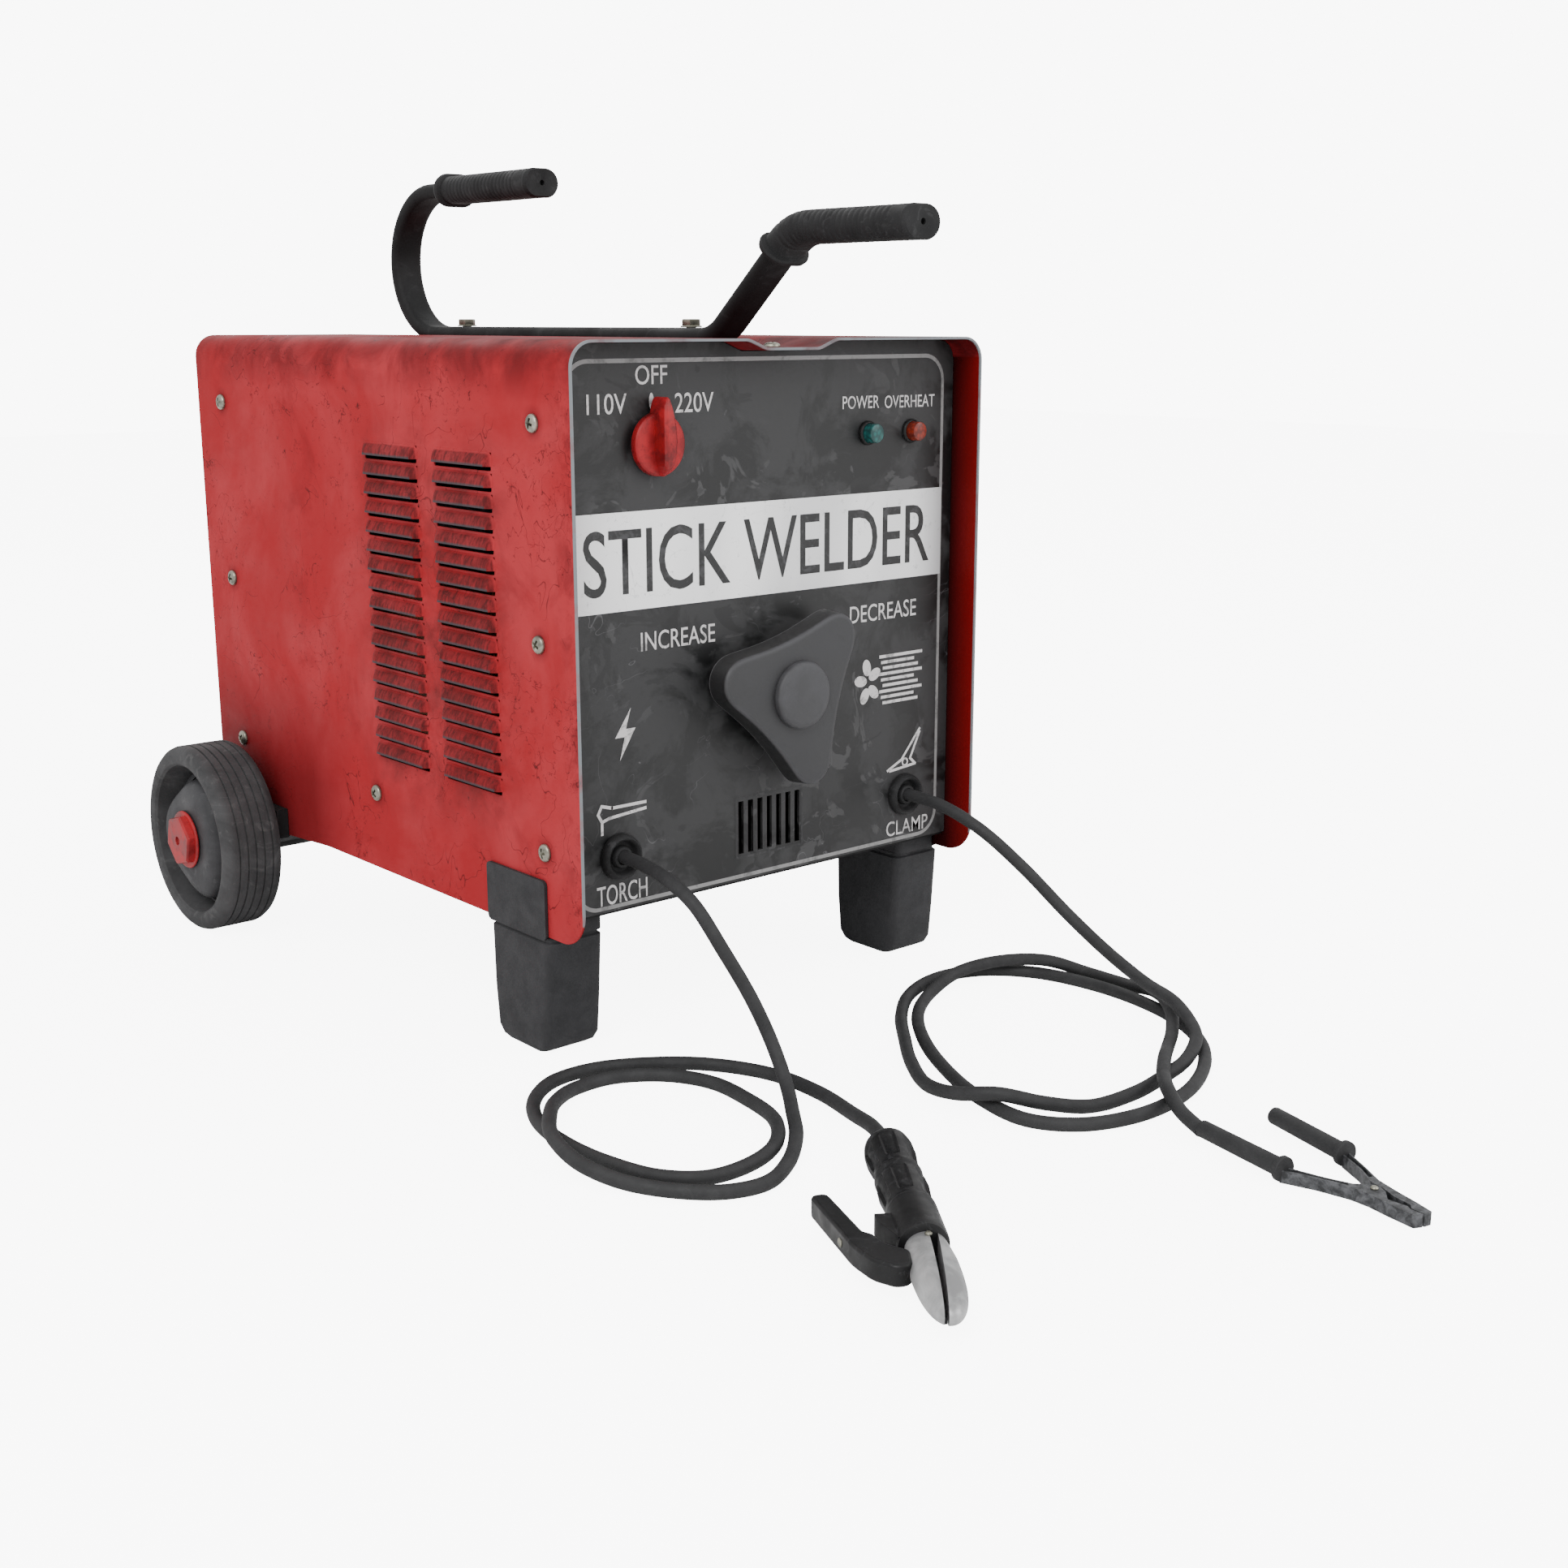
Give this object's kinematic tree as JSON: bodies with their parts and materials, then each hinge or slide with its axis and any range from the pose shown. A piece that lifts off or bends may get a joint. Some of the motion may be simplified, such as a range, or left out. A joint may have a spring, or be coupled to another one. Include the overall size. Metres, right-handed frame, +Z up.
{
  "type": "stick welder",
  "caption": "Moving-core arc-welding transformer in a louvred sheet-metal case with rear wheels, a bent tube handle, a holder lead and an earth lead.",
  "frame": {"origin": "on the floor under the middle of the machine's box, measured without the two leads and what hangs on them", "axes": "+Z up; the control panel faces -Y; +X is the side of the earth lead, on the right of someone who faces the control panel"},
  "size_m": [0.4388, 0.8509, 0.496],
  "materials": {
    "red_paint": "semi-gloss baked enamel, scratched and dusty",
    "grey_panel": "matt dark grey paint, smudged",
    "black_steel": "satin black powder coat",
    "black_rubber": "matt moulded rubber",
    "wheel_rubber": "dusty matt rubber",
    "black_plastic": "fine-textured moulded plastic",
    "red_plastic": "moulded red plastic",
    "green_lens": "translucent lamp lens",
    "orange_lens": "translucent lamp lens",
    "zinc": "zinc-plated steel",
    "steel": "plain steel, dull",
    "copper_winding": "varnished copper winding",
    "lamination": "laminated steel with a thin varnish"
  },
  "bodies": {
    "case": {"cover": "red_paint", "base_pan": "black_steel", "front_panel": "grey_panel", "rear_panel": "grey_panel", "handle_tube": "black_steel", "rear_grip": "black_rubber", "front_grip": "black_rubber", "handle_bolt_front": "zinc", "handle_bolt_rear": "zinc", "foot_left": "black_plastic", "foot_right": "black_plastic", "lip_screw": "zinc", "axle": "steel", "switch_body": "black_plastic", "lamp_green": "green_lens", "lamp_red": "orange_lens", "gland_torch": "black_rubber", "gland_clamp": "black_rubber", "mains_gland": "black_rubber", "transformer_core": "lamination", "coil_left": "copper_winding", "coil_right": "copper_winding", "fan_motor": "steel", "torch_cable": "black_rubber", "clamp_cable": "black_rubber", "holder_handle": "black_plastic", "holder_jaw_fixed": "steel", "clamp_arm_lower": "steel", "clamp_pin": "zinc", "clamp_sleeve_lower": "black_rubber", "side_screw_left_1": "zinc", "side_screw_left_2": "zinc", "side_screw_left_3": "zinc", "side_screw_left_4": "zinc", "side_screw_left_5": "zinc", "side_screw_left_6": "zinc", "side_screw_left_7": "zinc", "side_screw_right_1": "zinc", "side_screw_right_2": "zinc", "side_screw_right_3": "zinc", "side_screw_right_4": "zinc", "side_screw_right_5": "zinc", "side_screw_right_6": "zinc", "side_screw_right_7": "zinc"},
    "wheel_left": {"tyre_left": "wheel_rubber", "hub_left": "black_plastic", "hub_cap_left": "red_plastic"},
    "wheel_right": {"tyre_right": "wheel_rubber", "hub_right": "black_plastic", "hub_cap_right": "red_plastic"},
    "selector": {"selector_knob": "red_plastic"},
    "crank": {"handwheel": "black_plastic", "handwheel_cap": "black_plastic", "lead_screw": "steel"},
    "shunt": {"moving_core": "lamination"},
    "fan": {"fan_blade": "black_plastic"},
    "lever": {"holder_lever": "black_plastic", "holder_jaw_moving": "steel"},
    "clamp_jaw": {"clamp_arm_upper": "steel", "clamp_sleeve_upper": "black_rubber"}
  },
  "joints": [
    {"name": "wheel_left_spin", "type": "hinge", "parent": "case", "child": "wheel_left", "pos_m": [-0.18, 0.212, 0.0625], "axis": [1, 0, 0], "continuous": true},
    {"name": "wheel_right_spin", "type": "hinge", "parent": "case", "child": "wheel_right", "pos_m": [0.18, 0.212, 0.0625], "axis": [1, 0, 0], "continuous": true},
    {"name": "selector_turn", "type": "hinge", "parent": "case", "child": "selector", "pos_m": [-0.0815, -0.16, 0.336], "axis": [0, 1, 0], "range_deg": [-60, 60]},
    {"name": "handwheel_turn", "type": "hinge", "parent": "case", "child": "crank", "pos_m": [0, -0.17, 0.193], "axis": [0, 1, 0], "range_deg": [0, 4380]},
    {"name": "core_slide", "type": "slide", "parent": "case", "child": "shunt", "axis": [0, 1, 0], "range_m": [0, 0.073]},
    {"name": "fan_spin", "type": "hinge", "parent": "case", "child": "fan", "pos_m": [0, 0.188, 0.193], "axis": [0, 1, 0], "continuous": true},
    {"name": "holder_lever_squeeze", "type": "hinge", "parent": "case", "child": "lever", "pos_m": [-0.17279, -0.45953, 0.0123], "axis": [0, 0, -1], "range_deg": [0, 12], "stiffness_Nm_per_rad": 1, "springref_deg": -5.73},
    {"name": "clamp_arm_open", "type": "hinge", "parent": "case", "child": "clamp_jaw", "pos_m": [0.0353, -0.5457, 0.0038], "axis": [0, 0, 1], "range_deg": [0, 20], "stiffness_Nm_per_rad": 0.5, "springref_deg": -5.73}
  ],
  "couplings": [
    {"joint": "handwheel_turn", "follows": "core_slide", "rad_per_m": 1047.2}
  ]
}
